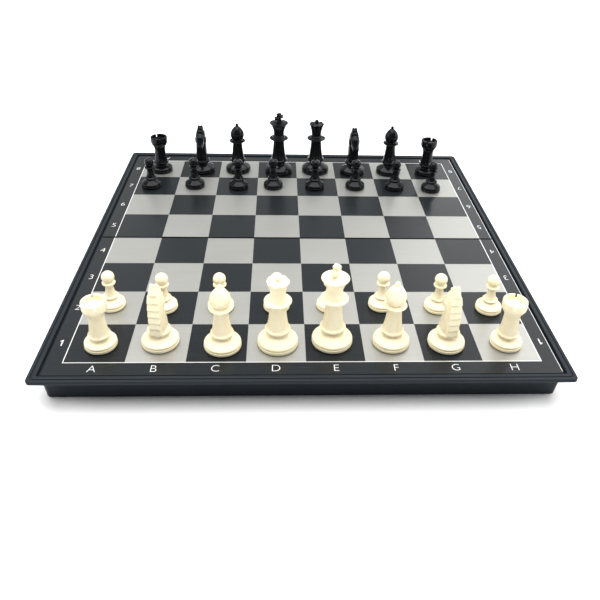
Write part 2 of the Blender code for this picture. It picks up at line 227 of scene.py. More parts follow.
def turningTree():  # a profile of points in XZ, turned about Z; the crown's edge may rise and fall
    made, given = interfaceTree("turning", {
        "Profile": "Geometry", "Steps": "Int", "Crown Points": "Int", "Point Height": "Float",
        "Points From": "Float", "Points Outside": "Float", "Material": "Material",
    })
    count = made.out("GeometryNodeAttributeDomainSize", {"component": "MESH"}, {0: given["Profile"]})
    grid = made.out("GeometryNodeMeshGrid", None, {"Vertices X": given["Steps"] + 1, "Vertices Y": count})
    index = made.out("GeometryNodeInputIndex")
    spoke = index.maths("FLOOR", index / count)
    place = made.out("GeometryNodeSampleIndex", {"data_type": "FLOAT_VECTOR", "domain": "POINT"}, {
        "Geometry": given["Profile"], "Value": made.out("GeometryNodeInputPosition"),
        "Index": index - spoke * count,
    })
    apart = made.node("ShaderNodeSeparateXYZ", None, {0: place})
    radius, height = Wire(made, apart.outputs[0]), Wire(made, apart.outputs[2])
    angle = spoke / given["Steps"] * (2 * math.pi)
    aboveStart = ((height - given["Points From"]) * pointsRise).limited()
    edge = aboveStart * ((radius - given["Points Outside"]) * pointsSpread).limited()
    wave = angle.maths("COSINE", angle * given["Crown Points"]) * given["Point Height"] * edge
    turned = made.out("ShaderNodeCombineXYZ", None, {
        0: radius * angle.maths("COSINE", angle), 1: radius * angle.maths("SINE", angle), 2: height + wave,
    })
    moved = made.out("GeometryNodeSetPosition", None, {"Geometry": grid, "Position": turned})
    merged = made.out("GeometryNodeMergeByDistance", None, {"Geometry": moved, "Distance": 0.001 * mm})
    return endTree(made, merged, given["Material"])


def chequerTree():  # every second square of a field, as thin tiles
    made, given = interfaceTree("chequer", {
        "Columns": "Int", "Rows": "Int", "Square": "Float", "Thickness": "Float", "Start": "Int",
        "Material": "Material",
    })
    grid = made.out("GeometryNodeMeshGrid", None, {
        "Size X": (given["Columns"] - 1) * given["Square"], "Size Y": (given["Rows"] - 1) * given["Square"],
        "Vertices X": given["Columns"], "Vertices Y": given["Rows"],
    })
    index = made.out("GeometryNodeInputIndex")
    column = index.maths("FLOOR", index / given["Rows"])
    row = index - column * given["Rows"]
    chosen = (column + row + given["Start"]) % 2
    size = made.out("ShaderNodeCombineXYZ", None, {
        0: given["Square"], 1: given["Square"], 2: given["Thickness"],
    })
    tile = made.out("GeometryNodeMeshCube", None, {"Size": size})
    tiles = made.out("GeometryNodeInstanceOnPoints", None, {
        "Points": grid, "Selection": chosen, "Instance": tile,
    })
    return endTree(made, tiles, given["Material"])


turnOnAxis = turningTree()
chequer = chequerTree()


def newFinish(name):
    material = bpy.data.materials.new(name)
    material.use_nodes = True
    tree = Tree(material.node_tree)
    shader = material.node_tree.nodes["Principled BSDF"]
    place = tree.out("ShaderNodeTexCoord", None, None, 3)
    return material, tree, shader, place


def noise(tree, place, scale, detail=2.0, rough=0.5, stretch=None):
    if stretch:
        place = tree.out("ShaderNodeMapping", None, {"Vector": place, "Scale": stretch})
    return tree.out("ShaderNodeTexNoise", None, {
        "Vector": place, "Scale": scale, "Detail": detail, "Roughness": rough,
    })


def mixColour(tree, share, first, second):
    return tree.out("ShaderNodeMix", {"data_type": "RGBA"}, {0: share, 6: (*first, 1), 7: (*second, 1)}, 2)


def bump(tree, height, distance, strength=1.0):
    return tree.out("ShaderNodeBump", None, {"Strength": strength, "Distance": distance, "Height": height})


def feed(tree, shader, links, fixed):
    for name, wire in links.items():
        tree.base.links.new(wire.socket, shader.inputs[name])
    for name, value in fixed.items():
        shader.inputs[name].default_value = value


ivory = {"light": (0.91, 0.83, 0.60), "deep": (0.87, 0.77, 0.51), "gloss": 0.26, "glossSpread": 0.12}
jet = {"light": (0.004, 0.005, 0.006), "deep": (0.002, 0.003, 0.004), "gloss": 0.12, "glossSpread": 0.10}


def menPlastic(name, tone, subsurface, sheen):  # smooth injection-moulded plastic with faint flow marks
    material, tree, shader, place = newFinish(name)
    flow = noise(tree, place, 130, 3, 0.6, (1, 1, 0.35))
    handling = noise(tree, place, 420, 4, 0.65)
    grain = noise(tree, place, 5200, 2)
    colour = mixColour(tree, ((flow - 0.35) * 3).limited(), tone["light"], tone["deep"])
    roughness = tone["gloss"] + tone["glossSpread"] * ((handling - 0.35) * 2.2).limited()
    ripple = bump(tree, flow * 0.8 + grain * 0.1, 0.05 * mm, 0.5)
    feed(tree, shader, {"Base Color": colour, "Roughness": roughness, "Normal": ripple}, {
        "IOR": 1.5, "Specular IOR Level": sheen, "Subsurface Weight": subsurface,
        "Subsurface Radius": (1.0, 0.75, 0.45), "Subsurface Scale": 1.2 * mm,
    })
    return material


caseTone = {"light": (0.017, 0.021, 0.026), "deep": (0.011, 0.014, 0.018), "dust": (0.07, 0.08, 0.09)}


def casePlastic():  # spark-textured plastic, with scuffs and a few specks of dust
    material, tree, shader, place = newFinish("casePlastic")
    cloud = noise(tree, place, 45, 4, 0.6)
    grain = noise(tree, place, 2600, 3, 0.6)
    scuff = noise(tree, place, 260, 5, 0.7, (0.25, 1, 1))
    specks = ((noise(tree, place, 900, 1) - 0.80) * 12).limited()
    tone = mixColour(tree, cloud, caseTone["light"], caseTone["deep"])
    colour = tree.out("ShaderNodeMix", {"data_type": "RGBA"}, {
        0: specks, 6: tone, 7: (*caseTone["dust"], 1),
    }, 2)
    roughness = 0.36 + 0.16 * ((scuff - 0.35) * 2.5).limited() + 0.05 * grain
    feed(tree, shader, {
        "Base Color": colour, "Roughness": roughness, "Normal": bump(tree, grain, 0.03 * mm, 0.45),
    }, {"IOR": 1.5, "Specular IOR Level": 0.13, "Specular Tint": (0.84, 0.94, 1.0, 1)})
    return material


def brushed(name, light, deep, metallic, gloss, streakDepth, sheen=0.5):  # fine brush lines along X
    material, tree, shader, place = newFinish(name)
    fine = noise(tree, place, 1.0, 3, 0.7, (25, 4200, 1))
    broad = noise(tree, place, 1.0, 2, 0.6, (9, 700, 1))
    smear = noise(tree, place, 22, 3, 0.6)
    lines = fine * 0.65 + broad * 0.35
    colour = mixColour(tree, ((lines - 0.30) * 2.4).limited(), deep, light)
    roughness = gloss + 0.16 * (lines - 0.5) + 0.10 * (smear - 0.5)
    feed(tree, shader, {
        "Base Color": colour, "Roughness": roughness, "Normal": bump(tree, lines, streakDepth, 0.35),
    }, {"Metallic": metallic, "IOR": 1.45, "Specular IOR Level": sheen})
    return material


def plainPrint(name, light, deep, gloss):  # printed ink, slightly uneven
    material, tree, shader, place = newFinish(name)
    cloud = noise(tree, place, 900, 3, 0.6)
    colour = mixColour(tree, cloud, deep, light)
    feed(tree, shader, {"Base Color": colour, "Roughness": gloss + 0.1 * cloud,
                        "Normal": bump(tree, cloud, 0.01 * mm, 0.3)}, {"IOR": 1.45})
    return material


def feltCloth():  # pressed fibres, no weave
    material, tree, shader, place = newFinish("feltCloth")
    fibres = noise(tree, place, 2400, 6, 0.8)
    colour = mixColour(tree, fibres, (0.010, 0.011, 0.012), (0.045, 0.047, 0.052))
    feed(tree, shader, {"Base Color": colour, "Roughness": 0.85 + 0.15 * fibres,
                        "Normal": bump(tree, fibres, 0.12 * mm, 0.9)}, {"Sheen Weight": 0.3})
    return material


print("finishes")
ivoryPlastic = menPlastic("ivoryPlastic", ivory, 0.12, 0.4)
jetPlastic = menPlastic("jetPlastic", jet, 0.0, 0.17)
caseMaterial = casePlastic()
blackFoil = brushed("blackFoil", (0.012, 0.015, 0.017), (0.008, 0.010, 0.012), 0.0, 0.24, 0.01 * mm, 0.3)
silverFoil = brushed("silverFoil", (0.42, 0.42, 0.395), (0.36, 0.36, 0.34), 0.78, 0.40, 0.02 * mm)
# this finish colours the silver field line and also the painted highlight strip on the sheet's right edge
cutEdge = brushed("cutEdge", (0.80, 0.80, 0.79), (0.70, 0.70, 0.69), 0.30, 0.34, 0.01 * mm)
whiteInk = plainPrint("whiteInk", (0.78, 0.78, 0.76), (0.66, 0.66, 0.65), 0.45)
brightSteel = brushed("brightSteel", (0.62, 0.63, 0.64), (0.50, 0.51, 0.52), 1.0, 0.26, 0.02 * mm)
feltMaterial = feltCloth()


def roundedLine(corners, steps=7):  # corners: radius, height and how far each is rounded, in mm
    points = []
    for n, (radius, height, fillet) in enumerate(corners):
        here = Vector((radius, 0, height))
        if fillet == 0 or n in (0, len(corners) - 1):
            points.append(here)
            continue
        back = Vector((corners[n - 1][0], 0, corners[n - 1][1])) - here
        ahead = Vector((corners[n + 1][0], 0, corners[n + 1][1])) - here
        start = here + back.normalized() * min(fillet, back.length * 0.49)
        end = here + ahead.normalized() * min(fillet, ahead.length * 0.49)
        for k in range(steps + 1):
            t = k / steps
            points.append(start * (1 - t) ** 2 + here * 2 * t * (1 - t) + end * t ** 2)
    return points


def ball(radius, height, start, end, steps=16):  # an arc of a sphere, angles from straight down
    return [(radius * math.sin(math.radians(start + (end - start) * k / steps)),
             height - radius * math.cos(math.radians(start + (end - start) * k / steps)), 0)
            for k in range(steps + 1)]


def foot(radius, plinth, shoulder, neck, neckHeight):  # plinth, groove, domed base
    return [
        (0, 0, 0), (radius - 0.5, 0, 0.4), (radius, 0.5, 0.4), (radius, plinth, 0.3),
        (radius - 0.75, plinth + 0.25, 0.2), (radius - 0.75, plinth + 0.6, 0.2),
        (radius - 0.05, plinth + 0.9, 0.5), (radius - 0.35, plinth + 1.9, 1.0),
        (radius * 0.84, shoulder, 1.6), (neck + 1.0, neckHeight - 0.9, 1.4), (neck, neckHeight, 0.6),
    ]


profiles = {
    "king": foot(12.7, 2.3, 5.6, 5.7, 8.8) + [
        (5.6, 10.5, 0.7), (7.5, 11.0, 0.5), (8.0, 11.6, 0.5), (8.0, 12.4, 0.6), (6.9, 13.4, 0.9),
        (5.8, 18.5, 7.0), (4.75, 31.8, 5.0), (4.8, 32.6, 0.4), (8.5, 32.9, 0.4), (8.5, 33.6, 0.4),
        (5.7, 34.2, 0.5), (5.5, 35.5, 0.6), (4.7, 36.4, 0.8), (4.9, 41.0, 4.0), (7.4, 46.6, 2.0),
        (8.4, 47.3, 0.3), (8.4, 48.0, 0.3), (7.4, 48.1, 0.4), (5.0, 48.4, 1.0), (2.4, 49.1, 0.8),
        (0, 49.1, 0),
    ],
    "queen": foot(12.6, 2.3, 5.6, 5.7, 8.8) + [
        (5.6, 10.5, 0.7), (7.4, 11.0, 0.5), (7.9, 11.6, 0.5), (7.9, 12.4, 0.6), (6.8, 13.4, 0.9),
        (5.7, 18.5, 7.0), (4.6, 31.2, 5.0), (4.7, 32.0, 0.4), (8.4, 32.3, 0.4), (8.4, 33.0, 0.4),
        (5.4, 33.6, 0.5), (5.2, 34.8, 0.6), (4.4, 35.6, 0.8), (4.6, 39.5, 4.0), (6.3, 45.6, 1.5),
        (6.8, 46.5, 0.3), (6.0, 46.5, 0.3), (5.0, 45.5, 0.8), (2.6, 46.7, 1.0), (1.0, 47.1, 0.3),
    ] + ball(1.75, 48.65, 35, 180),
    "bishop": foot(11.5, 2.1, 5.0, 5.2, 7.8) + [
        (5.1, 9.2, 0.5), (6.7, 9.7, 0.5), (7.1, 10.2, 0.5), (7.1, 11.0, 0.6), (6.2, 12.0, 0.9),
        (5.1, 17.0, 6.0), (4.15, 28.0, 4.0), (4.2, 28.7, 0.4), (7.2, 28.9, 0.4), (7.2, 29.7, 0.4),
        (4.6, 30.2, 0.4), (4.2, 31.0, 0.4), (5.9, 32.6, 1.6), (6.5, 35.4, 2.4), (5.6, 38.6, 2.4),
        (3.0, 42.2, 1.8), (1.2, 43.3, 0.5),
    ] + ball(1.5, 44.3, 50, 180),
    "knight": foot(11.5, 2.1, 4.8, 5.3, 7.6) + [
        (5.2, 8.8, 0.5), (6.9, 9.3, 0.5), (7.3, 9.8, 0.5), (7.3, 10.6, 0.5), (6.5, 11.5, 0.6),
        (5.5, 11.8, 0.4), (0, 11.8, 0),
    ],
    "rook": foot(9.9, 2.1, 4.6, 4.9, 6.2) + [
        (4.8, 7.3, 0.4), (6.3, 7.8, 0.4), (6.8, 8.3, 0.4), (6.8, 9.1, 0.5), (6.0, 10.0, 0.7),
        (5.2, 14.0, 5.0), (4.65, 23.4, 3.0), (7.0, 27.0, 1.8), (7.5, 28.4, 0.9), (7.5, 33.0, 0.5),
        (7.1, 33.4, 0.3), (5.6, 33.4, 0.3), (5.4, 30.4, 0.5), (0, 30.2, 0),
    ],
    "pawn": foot(8.7, 2.0, 4.6, 4.3, 7.0) + [
        (4.3, 7.6, 0.3), (5.1, 8.0, 0.3), (5.1, 8.7, 0.4), (4.1, 9.3, 0.6), (2.9, 12.0, 2.4),
        (2.35, 16.6, 2.0), (4.3, 18.0, 0.5), (4.4, 18.8, 0.4), (3.0, 19.5, 0.3),
    ] + ball(4.15, 22.75, 42, 180),
}
crown = {"points": 8, "height": 0.45 * mm, "from": 44.2 * mm, "outside": 4.6 * mm}
turningSteps = 96


def turnedMesh(profile, crownPoints=None):
    line = roundedLine(profile)
    start = bpy.data.meshes.new("profile")
    edges = [(n, n + 1) for n in range(len(line) - 1)]
    start.from_pydata([point * mm for point in line], edges, [])
    made = crownPoints or {"points": 0, "height": 0.0, "from": 0.0, "outside": 0.0}
    mesh = grown(turnOnAxis, {
        "Steps": turningSteps, "Crown Points": made["points"], "Point Height": made["height"],
        "Points From": made["from"], "Points Outside": made["outside"], "Material": ivoryPlastic,
    }, start)
    return closeMesh(mesh)


def extruded(outline, low, high, axes, bevel=0.0):  # a flat outline in two axes, thick along the third
    bm = bmesh.new()
    first, second, across = axes
    corners = []
    for a, b in outline:
        point = [0.0, 0.0, 0.0]
        point[first], point[second], point[across] = a * mm, b * mm, low * mm
        corners.append(bm.verts.new(point))
    face = bm.faces.new(corners)
    raised = bmesh.ops.extrude_face_region(bm, geom=[face])["geom"]
    offset = [0.0, 0.0, 0.0]
    offset[across] = (high - low) * mm
    bmesh.ops.translate(bm, verts=[v for v in raised if isinstance(v, bmesh.types.BMVert)], vec=offset)
    bmesh.ops.recalc_face_normals(bm, faces=bm.faces)
    if bevel:
        bmesh.ops.bevel(bm, geom=bm.edges[:], offset=bevel * mm, segments=2, profile=0.5, affect="EDGES")
    return meshFrom("extruded", bm)


cross = {"foot": 48.8, "armLow": 51.3, "armHigh": 54.1, "top": 56.5, "reach": 4.2, "thick": 3.3}


def kingMesh():  # the crown carries a cross with flared arms
    low, high, top = cross["armLow"], cross["armHigh"], cross["top"]
    middle, reach = (low + high) / 2, cross["reach"]
    outline = [
        (-2.1, cross["foot"]), (2.1, cross["foot"]), (1.15, middle - 1.15), (reach, middle - 1.7),
        (reach, middle + 1.7), (1.15, middle + 1.15), (2.2, top), (-2.2, top), (-1.15, middle + 1.15),
        (-reach, middle + 1.7), (-reach, middle - 1.7), (-1.15, middle - 1.15),
    ]
    shape = extruded(outline, -cross["thick"] / 2, cross["thick"] / 2, (0, 2, 1), 0.3)
    return combine(turnedMesh(profiles["king"]), [("UNION", shape)])


def queenMesh():
    return turnedMesh(profiles["queen"], crown)


mitreSlot = {"height": 37.6, "tilt": 52, "width": 1.15, "depth": 0.3}


def bishopMesh():  # a slanted slot is cut into one side of the mitre
    half = mitreSlot["width"] / 2 * mm
    cut = boxMesh((-12 * mm, 0, -half), (12 * mm, 12 * mm, half))
    slant = Matrix.Rotation(math.radians(mitreSlot["tilt"]), 4, "X")
    cut.transform(Matrix.Translation((0, mitreSlot["depth"] * mm, mitreSlot["height"] * mm)) @ slant)
    return combine(turnedMesh(profiles["bishop"]), [("DIFFERENCE", cut)])


notch = {"width": 1.3, "floor": 30.5}


def rookMesh():  # four notches in the battlement
    half, low = notch["width"] / 2 * mm, notch["floor"] * mm
    steps = []
    for turn in (0, 90):
        bar = boxMesh((-12 * mm, -half, low), (12 * mm, half, 36 * mm))
        bar.transform(Matrix.Rotation(math.radians(turn), 4, "Z"))
        steps.append(("DIFFERENCE", bar))
    return combine(turnedMesh(profiles["rook"]), steps)


def pawnMesh():
    return turnedMesh(profiles["pawn"])


# The knight looks along -Y.  Sections: height, front, back, half width
neck = [
    (10.4, -6.4, 6.2, 5.3), (13.0, -7.0, 6.3, 5.2), (17.0, -6.6, 6.4, 5.0), (21.5, -5.0, 6.3, 4.7),
    (26.0, -3.4, 6.0, 4.5), (30.5, -3.6, 5.3, 4.5), (35.0, -4.2, 4.2, 4.3), (38.6, -3.2, 2.8, 3.6),
    (40.6, -1.6, 1.2, 2.6),
]
# Along the head: middle (y, z), half height, half width
head = [
    ((2.2, 35.0), 4.4, 3.6), ((-0.6, 33.6), 5.0, 3.9), ((-3.2, 31.3), 4.7, 3.8), ((-5.4, 28.6), 3.7, 3.4),
    ((-7.3, 26.7), 3.1, 3.1), ((-8.8, 25.3), 2.8, 3.0), ((-9.6, 24.6), 2.1, 2.4),
]
mane = {"locks": 7, "low": 10.6, "high": 42.0, "half": 3.6, "stand": 1.5, "voxel": 0.34}

# Cheek and brow: place, half sizes, steps around and down
swellings = [((2.6, -0.6, 30.6), (2.7, 4.0, 4.3), 24, 16), ((3.1, -2.6, 34.8), (1.0, 1.5, 1.2), 20, 12)]
# Eye and nostril: place (y, z), radius, depth
hollows = [((-3.3, 33.0), 0.75, 0.55), ((-8.1, 26.2), 0.55, 0.5)]
mouth = {"front": -9.6, "back": -5.6, "half": 0.42, "depth": 0.45}
smoothingPasses = 3


def loft(rings):
    bm = bmesh.new()
    rows = [[bm.verts.new(Vector(point) * mm) for point in ring] for ring in rings]
    count = len(rows[0])
    for lower, upper in zip(rows, rows[1:]):
        for n in range(count):
            after = (n + 1) % count
            bm.faces.new((lower[n], lower[after], upper[after], upper[n]))
    bm.faces.new(reversed(rows[0]))
    bm.faces.new(rows[-1])
    bmesh.ops.recalc_face_normals(bm, faces=bm.faces)
    return meshFrom("loft", bm)


def squareRound(angle, power):  # a point on a rounded square
    c, s = math.cos(angle), math.sin(angle)
    return math.copysign(abs(c) ** power, c), math.copysign(abs(s) ** power, s)


def neckLine(height, which):  # front or back of the neck at a height
    for lower, upper in zip(neck, neck[1:]):
        if lower[0] <= height <= upper[0]:
            share = (height - lower[0]) / (upper[0] - lower[0])
            return lower[which] + share * (upper[which] - lower[which])
    return neck[-1][which] if height > neck[-1][0] else neck[0][which]


def knightMesh():
    ways = [2 * math.pi * n / 32 for n in range(32)]
    shapes = []
    rings = []
    for height, front, back, half in neck:
        middle, reach = (front + back) / 2, (back - front) / 2
        rings.append([(half * squareRound(a, 0.75)[0], middle + reach * squareRound(a, 0.75)[1], height)
                      for a in ways])
    shapes.append(loft(rings))
    rings = []
    up = Vector((0, -0.71, 0.70))
    for (y, z), tall, half in head:
        middle = Vector((0, y, z))
        ring = []
        for a in ways:
            across, along = squareRound(a, 0.8)
            ring.append(middle + Vector((half * across, 0, 0)) + up * (tall * along))
        rings.append(ring)
    shapes.append(loft(rings))
    step = (mane["high"] - mane["low"]) / mane["locks"]
    for n in range(mane["locks"]):  # the mane: overlapping locks down the back
        low = mane["low"] + n * step
        high = low + step * 0.98
        backLow, backHigh = neckLine(low, 2), neckLine(high, 2)
        narrow = mane["half"] * (1.0 if n < mane["locks"] - 1 else 0.72)
        stand = mane["stand"]
        outline = [(backLow - 3.0, low), (backLow + stand, low + 0.15), (backLow + stand + 0.1, low + 0.8),
                   (backHigh + stand * 0.62, high), (backHigh - 3.0, high)]
        shapes.append(extruded(outline, -narrow, narrow, (1, 2, 0), 0.25))
    for side in (-1, 1):
        ear = [[(side * 1.25 + w * 1.35 * math.cos(a), 0.4 + w * 1.7 * math.sin(a) + lift * 0.10, 38.6 + lift)
                for a in ways[::2]] for w, lift in ((1.0, 0.0), (1.0, 2.4), (0.92, 4.0), (0.62, 5.2))]
        shapes.append(loft(ear))
        for (x, y, z), size, around, rows in swellings:
            place = Matrix.Translation((side * x * mm, y * mm, z * mm))
            swelling = bmesh.new()
            bmesh.ops.create_uvsphere(swelling, u_segments=around, v_segments=rows, radius=1.0,
                                      matrix=place @ Matrix.Diagonal((*[a * mm for a in size], 1)))
            shapes.append(meshFrom("swelling", swelling))
    whole = bmesh.new()
    for shape in shapes:
        whole.from_mesh(shape)
    item = link("horse", bpy.data.meshes.new("horse"))
    whole.to_mesh(item.data)
    whole.free()
    remesh = item.modifiers.new("remesh", "REMESH")
    remesh.mode = "VOXEL"
    remesh.voxel_size = mane["voxel"] * mm
    mesh = evaluated(item)
    bpy.data.objects.remove(item, do_unlink=True)
    bm = bmesh.new()
    bm.from_mesh(mesh)
    for _ in range(smoothingPasses):
        bmesh.ops.smooth_vert(bm, verts=bm.verts, factor=0.5, use_axis_x=True, use_axis_y=True,
                              use_axis_z=True)
    for vertex in bm.verts:  # eyes, nostrils and mouth are pressed in
        x, y, z = vertex.co / mm
        side = math.copysign(1.0, x)
        press = 0.0
        for (cy, cz), size, depth in hollows:
            away = math.hypot(y - cy, z - cz)
            if abs(x) > 1.6 and away < size:
                press = max(press, depth * (1 - (away / size) ** 2))
        along = (y - mouth["front"]) * 0.71 - (z - 23.6) * 0.70  # runs back from the lips
        off = abs((y - mouth["front"]) * 0.70 * 0.6 + (z - 23.4) * 0.71 - 0.4)
        if y < mouth["back"] and off < mouth["half"] and along > -0.4:
            press = max(press, mouth["depth"] * (1 - (off / mouth["half"]) ** 2))
        vertex.co.x -= side * press * mm
    bm.to_mesh(mesh)
    bm.free()
    mesh.materials.clear()
    return combine(turnedMesh(profiles["knight"]), [("UNION", mesh)])


turns = {
    "a1": 20, "b1": 174, "c1": -30, "d1": 8, "e1": 62, "f1": 25, "g1": 186, "h1": -20,
    "a8": 28, "b8": -4, "c8": 35, "d8": 50, "e8": 0, "f8": 8, "g8": -90, "h8": -30,
}
felt = {"share": 0.93, "bottom": 22.63}
shapers = {"king": kingMesh, "queen": queenMesh, "bishop": bishopMesh, "knight": knightMesh, "rook": rookMesh,
           "pawn": pawnMesh}


menFinishes = {"white": (ivoryPlastic, "ivory_plastic"), "black": (jetPlastic, "black_plastic")}


def setOutMen():
    patterns = {}
    for kind, shaper in shapers.items():
        patterns[kind] = smoothed(shaper(), 32)
        print("man", kind, len(patterns[kind].polygons))
    for body in frame["bodies"]:
        parts = body.split("_")
        if len(parts) != 3 or parts[1] not in patterns:
            continue
        colour, kind, square = parts
        low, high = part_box(body)
        middle = (low + high) / 2
        turn = Matrix.Rotation(math.radians(turns.get(square, 0)), 4, "Z")
        mesh = patterns[kind].copy()
        mesh.transform(Matrix.Translation((middle.x, middle.y, low.z)) @ turn)
        plastic, slot = menFinishes[colour]
        name = colour + kind.capitalize() + square.upper()
        finishPiece(name, mesh, plastic, body, [body])
        radius = profiles[kind][2][0] * felt["share"]
        thick = low.z / mm - felt["bottom"]
        disc = turnedMesh([(0, 0, 0), (radius, 0, 0.08), (radius, thick, 0.08), (0, thick, 0)])
        disc.transform(Matrix.Translation((middle.x, middle.y, felt["bottom"] * mm)))
        finishPiece(name + "Felt", smoothed(disc), feltMaterial, body)


board = {"square": 35.8, "gridGap": 2.1, "seamGap": 0.3, "halfWidth": 160.2, "halfDepth": 162.0, "play": 22.6}
case = {
    "deckTop": 21.1, "deckBottom": 19.1, "rimTop": 23.5, "rimWidth": 5.2, "flangeBottom": 21.2,
    "skirtInset": 10.0, "draft": 2.2, "sideInset": 4.2, "sideDraft": 0.7, "wall": 2.2, "centreWall": 3.0,
    "skirtRadius": 2.8, "cornerSteps": 12, "rimLift": 1.75,
}
hinge = {"height": 1.6, "radius": 1.6, "pin": 0.65, "x": 100.0, "middle": 6.0, "side": 6.0, "pocket": 0.45,
         "fit": 0.3}
magnet = {"radius": 3.0, "thick": 2.0, "x": 110.0, "bossWidth": 9.0, "bossDepth": 8.0, "bottom": 0.9,
          "clear": 0.6}


def rimHeight(y):  # the side walls' lower edge rises towards the seam
    reach = board["halfDepth"] - case["skirtInset"] - case["draft"] - case["wall"]
    return case["rimLift"] * (1.0 - min(abs(y) / reach, 1.0))


def rail(inset, height, radius, seam, lift=0.0, side=None):
    x, y = board["halfWidth"] - (inset if side is None else side), board["halfDepth"] - inset
    points = [Vector((-x, -seam, 0))]
    for side, start in ((-1, 180), (1, 270)):
        centre = Vector((side * (x - radius), -(y - radius), 0))
        for n in range(case["cornerSteps"] + 1):
            angle = math.radians(start + 90 * n / case["cornerSteps"])
            points.append(centre + radius * Vector((math.cos(angle), math.sin(angle), 0)))
    points.append(Vector((x, -seam, 0)))
    for point in points:
        point.z = rimHeight(point.y) + lift if height is None else height
    return points


def rimSection():  # inset, height, corner radius, lift, side inset; from the deck over the rim and down
    top, wide = case["rimTop"], case["rimWidth"]
    skirt, side, under = case["skirtInset"], case["sideInset"], case["deckBottom"]
    foot, sideFoot, corner = skirt + case["draft"], side + case["sideDraft"], case["skirtRadius"]
    return [
        (wide + 0.15, case["deckTop"], 0.9), (wide, case["deckTop"] + 0.15, 1.0), (wide, top - 0.30, 1.0),
        (wide - 0.08, top - 0.08, 1.1), (wide - 0.28, top, 1.2),
        (3.00, top, 1.8), (2.86, top - 0.08, 1.85), (2.80, top - 0.55, 1.9), (2.70, top - 0.65, 1.95),
        (2.30, top - 0.65, 2.0), (2.20, top - 0.55, 2.05), (2.14, top - 0.08, 2.1), (2.00, top, 2.2),
        (0.62, top, 2.7), (0.42, top - 0.03, 2.8), (0.10, top - 0.30, 2.95), (0.0, top - 0.50, 3.0),
        (0.0, case["flangeBottom"] + 0.20, 3.0), (0.06, case["flangeBottom"] + 0.06, 3.0),
        (0.22, case["flangeBottom"] - 0.08, 2.9), (3.0, under + 0.10, 2.7), (3.2, under, 2.6),
        (skirt - 0.6, under, corner + 0.1, 0.0, side - 0.5),
        (skirt - 0.2, under - 0.15, corner, 0.0, side - 0.15),
        (skirt + 0.02, under - 0.6, corner, 0.0, side), (foot - 0.03, None, corner, 0.5, sideFoot - 0.02),
        (foot + 0.08, None, corner - 0.05, 0.15, sideFoot + 0.08),
        (foot + 0.40, None, corner - 0.2, 0.0, sideFoot + 0.4),
    ]


def caseShell():
    seam = board["seamGap"] / 2
    wall, under = case["wall"], case["deckBottom"]
    foot, sideFoot = case["skirtInset"] + case["draft"] + wall, case["sideInset"] + case["sideDraft"] + wall
    top, sideTop, inner = case["skirtInset"] + wall, case["sideInset"] + wall, case["skirtRadius"] - wall
    within = seam + case["centreWall"]
    rows = []
    for inset, height, radius, *more in rimSection():
        lift, side = more if more else (0.0, None)
        rows.append(rail(inset, height, radius, seam, lift, side))
    outer = len(rows)
    rows.append(rail(foot - 0.25, None, inner + 0.2, within, 0.0, sideFoot - 0.25))
    rows.append(rail(foot, None, inner, within, 0.25, sideFoot))
    rows.append(rail(top, under - 0.8, inner, within, 0.0, sideTop))
    rows.append(rail(top + 0.25, under - 0.2, inner - 0.1, within, 0.0, sideTop + 0.25))
    rows.append(rail(top + 0.8, under, inner - 0.2, within + 0.6, 0.0, sideTop + 0.8))
    bm = bmesh.new()
    made = [[bm.verts.new(point * mm) for point in row] for row in rows]
    for line, after in zip(made, made[1:]):
        for n in range(len(line) - 1):
            bm.faces.new((line[n], line[n + 1], after[n + 1], after[n]))
    bm.faces.new((made[outer - 1][0], made[outer - 1][-1], made[outer][-1], made[outer][0]))
    for line, after in zip(made[outer:], made[outer + 1:]):
        bm.faces.new((line[0], line[-1], after[-1], after[0]))
    bm.faces.new(made[-1])
    bm.faces.new(made[0])
    bm.faces.new([line[0] for line in made[:outer]] + [line[-1] for line in made[:outer]][::-1])
    return meshFrom("case", bm)


def rodMesh(radius, low, high, height, y=0.0, alongX=True, sides=48):
    bm = bmesh.new()
    if alongX:
        place = Matrix.Translation(((low + high) / 2 * mm, y * mm, height * mm))
        place = place @ Matrix.Rotation(math.pi / 2, 4, "Y")
    else:
        place = Matrix.Translation((height * mm, y * mm, (low + high) / 2 * mm))
    bmesh.ops.create_cone(bm, cap_ends=True, segments=sides, radius1=radius * mm, radius2=radius * mm,
                          depth=(high - low) * mm, matrix=place)
    return meshFrom("rod", bm)


def knuckleSpans(middle):
    spans = []
    for side in (-1, 1):
        centre, half = side * hinge["x"], hinge["middle"] / 2
        if middle:
            spans.append((centre - half, centre + half))
        else:
            inner = half + hinge["fit"]
            outer = inner + hinge["side"]
            spans += [(centre - outer, centre - inner), (centre + inner, centre + outer)]
    return spans


def magnetY():
    wallFoot = board["halfDepth"] - case["skirtInset"] - case["draft"] - case["wall"]
    return -(wallFoot - magnet["clear"] - magnet["bossDepth"] / 2)


def bossMesh(x):  # a post between skirt and deck, leaning with the skirt
    half = magnet["bossWidth"] / 2
    wallTop = -(board["halfDepth"] - case["skirtInset"] - case["wall"] / 2)
    wallFoot = wallTop + case["draft"] * (case["deckBottom"] - magnet["bottom"]) / case["deckBottom"]
    back, top, low = magnetY() + magnet["bossDepth"] / 2, case["deckBottom"] + 0.5, magnet["bottom"]
    outline = [(wallFoot, low), (back, low), (back, top), (wallTop, top)]
    return extruded(outline, x - half, x + half, (1, 2, 0), 0.35)


